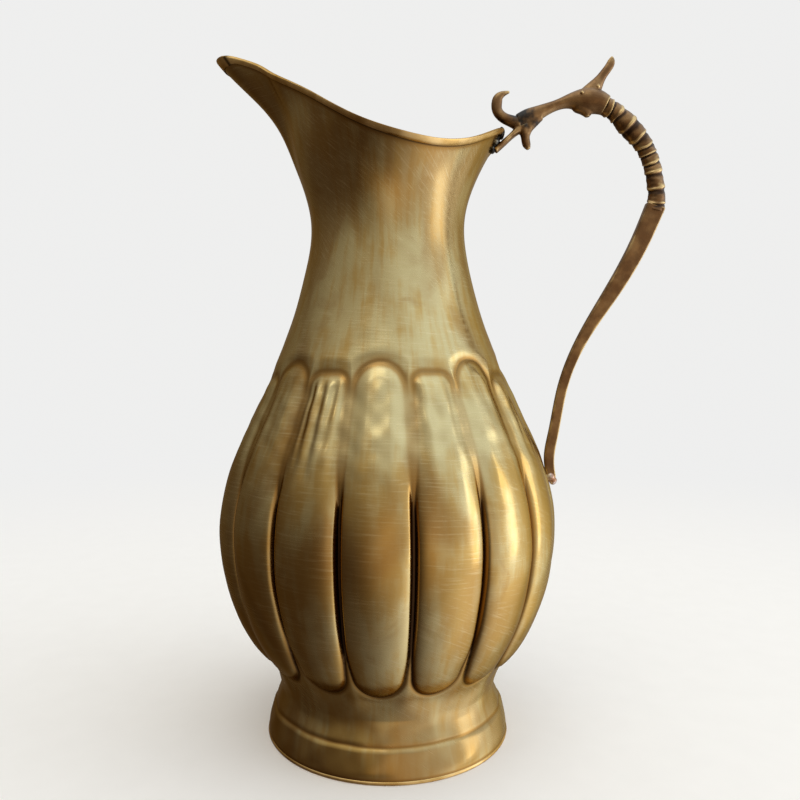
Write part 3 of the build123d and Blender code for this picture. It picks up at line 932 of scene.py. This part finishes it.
def add_camera():
    data = bpy.data.cameras.new("camera")
    data.lens = CAMERA_LENS
    data.sensor_width = CAMERA_SENSOR
    data.shift_x = CAMERA_SHIFT
    data.clip_start = 0.01
    camera = bpy.data.objects.new("camera", data)
    camera.location = (CAMERA_DISTANCE * sin(CAMERA_TURN) * MM,
                       -CAMERA_DISTANCE * cos(CAMERA_TURN) * MM, CAMERA_HEIGHT * MM)
    camera.rotation_euler = (pi / 2 - CAMERA_PITCH, 0, CAMERA_TURN)
    bpy.context.scene.collection.objects.link(camera)
    bpy.context.scene.camera = camera


# soft glows of the room: (azimuth from the camera side, elevation, tightness, colour)
GLOWS = [
    (0, 90, 2.9, (0.82, 0.86, 0.88)),
    (88, -6, 4.2, (1.08, 1.18, 1.34)),
    (80, -42, 4.0, (0.98, 0.98, 1.02)),
    (72, 55, 5.0, (0.52, 0.70, 0.95)),
    (35, 40, 4.0, (0.24, 0.25, 0.23)),
    (30, -8, 5.0, (0.23, 0.19, 0.12)),
    (-50, 55, 4.0, (0.30, 0.29, 0.24)),
    (10, -3, 12.0, (0.42, 0.31, 0.20)),
    (140, 0, 4.0, (0.26, 0.24, 0.16)),
    (-160, 40, 4.0, (0.08, 0.06, 0.04)),
]
ROOM = (0.072, 0.041, 0.019)
BACKDROP = (0.86, 0.86, 0.855)
FLOOR_DARK = (0.84, 0.80, 0.74)
FLOOR_PALE = (0.88, 0.84, 0.78)
FLOOR_SIZE = 6000.0
FLOOR_FADE = (120, 1100)         # the floor turns into the backdrop between these distances


def compass(azimuth, elevation):
    """Direction from the jug, counted from the camera side towards the handle."""
    turn, rise = radians(azimuth), radians(elevation)
    return Vector((sin(turn) * cos(rise), -cos(turn) * cos(rise), sin(rise)))


def add_light(name, azimuth, elevation, distance, size, power, colour):
    data = bpy.data.lights.new(name, "AREA")
    data.shape = "RECTANGLE"
    data.size, data.size_y = size
    data.energy = power
    data.color = colour
    light = bpy.data.objects.new(name, data)
    light.location = AIM + compass(azimuth, elevation) * distance
    light.rotation_euler = (AIM - light.location).to_track_quat("-Z", "Y").to_euler()
    bpy.context.scene.collection.objects.link(light)


def add_world():
    """Pale backdrop for the camera; a dim warm room with soft glows for the reflections."""
    world = bpy.data.worlds.new("studio")
    world.use_nodes = True
    nodes = world.node_tree.nodes
    links = world.node_tree.links
    where = nodes.new("ShaderNodeTexCoord").outputs["Generated"]
    total = None
    for azimuth, elevation, tightness, colour in GLOWS:
        facing = nodes.new("ShaderNodeVectorMath")
        facing.operation = "DOT_PRODUCT"
        links.new(where, facing.inputs[0])
        facing.inputs[1].default_value = compass(azimuth, elevation)
        drop = nodes.new("ShaderNodeMath")
        drop.operation = "MULTIPLY_ADD"
        links.new(facing.outputs["Value"], drop.inputs[0])
        drop.inputs[1].default_value = tightness
        drop.inputs[2].default_value = -tightness
        share = nodes.new("ShaderNodeMath")
        share.operation = "EXPONENT"
        links.new(drop.outputs["Value"], share.inputs[0])
        glow = nodes.new("ShaderNodeVectorMath")
        glow.operation = "MULTIPLY_ADD"
        links.new(share.outputs["Value"], glow.inputs[0])
        glow.inputs[1].default_value = colour
        if total is None:
            glow.inputs[2].default_value = ROOM
        else:
            links.new(total, glow.inputs[2])
        total = glow.outputs["Vector"]
    room = nodes["Background"]
    links.new(total, room.inputs["Color"])
    backdrop = nodes.new("ShaderNodeBackground")
    backdrop.inputs["Color"].default_value = (*BACKDROP, 1)
    seen = nodes.new("ShaderNodeLightPath").outputs["Is Camera Ray"]
    blend = nodes.new("ShaderNodeMixShader")
    links.new(seen, blend.inputs["Fac"])
    links.new(room.outputs["Background"], blend.inputs[1])
    links.new(backdrop.outputs["Background"], blend.inputs[2])
    links.new(blend.outputs["Shader"], nodes["World Output"].inputs["Surface"])
    bpy.context.scene.world = world


def add_floor():
    """Pale floor that fades into the backdrop away from the jug."""
    paint = Paint("floor")
    grain = paint.noise(60.0, 4.0)
    paint.set(Base_Color=paint.mix(grain, FLOOR_DARK, FLOOR_PALE), Roughness=0.9,
              Emission_Color=(1.0, 1.0, 1.0), Emission_Strength=0.12)
    away = paint.add("ShaderNodeVectorMath", operation="LENGTH")
    paint.join(paint.where, away.inputs[0])
    glow = paint.add("ShaderNodeEmission")
    glow.inputs["Color"].default_value = (*BACKDROP, 1)
    fade = paint.add("ShaderNodeMixShader")
    near, far = FLOOR_FADE
    paint.join(paint.ramp(away.outputs["Value"], near * MM, far * MM), fade.inputs["Fac"])
    paint.join(paint.shader.outputs["BSDF"], fade.inputs[1])
    paint.join(glow.outputs["Emission"], fade.inputs[2])
    paint.join(fade.outputs["Shader"], paint.nodes["Material Output"].inputs["Surface"])
    corners = FLOOR_SIZE * np.array([[(-1.0, -1, 0), (1, -1, 0)], [(-1, 1, 0), (1, 1, 0)]])
    floor = grid_mesh("floor", corners, around=False, along=False)
    floor.data.materials.append(paint.material)
    floor.visible_glossy = False


# ---- build ----
bpy.context.scene.view_settings.view_transform = "Standard"
add_camera()
add_world()
for light in LIGHTS:
    add_light(*light)
add_floor()

brass = beaten_brass()
edging = edge_brass()
casting = cast_brass()
inside = inside_brass()
sooty = solder("sooty_solder", SOLDER_GREY, SOLDER_SOOTY, border=0.42)
bright = solder("bright_solder", SOLDER_PINK, SOLDER_COPPERY, border=0.55)

finish_piece(make_neck(), brass, ["neck_body"])
finish_piece(make_bulb(), brass, ["bulb_body"])
finish_piece(make_foot(), brass, ["foot_collar"])
finish_piece(make_hem(), edging, ["foot_hem"])
finish_piece(make_rim_band(), edging, ["rim_band"])
finish_piece(make_handle(), casting, ["handle_casting"])
finish_piece(make_solder("upper_solder_patch", UPPER_LUMPS, voxel=0.3, smoothing=4),
             sooty, ["upper_solder"])
finish_piece(make_solder("lower_solder_bead", LOWER_LUMPS, voxel=0.25, smoothing=3),
             bright, ["lower_solder"])
for name in ("bottom_disc", "body_braze", "foot_braze"):
    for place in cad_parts[name].material_slots:
        place.material = inside
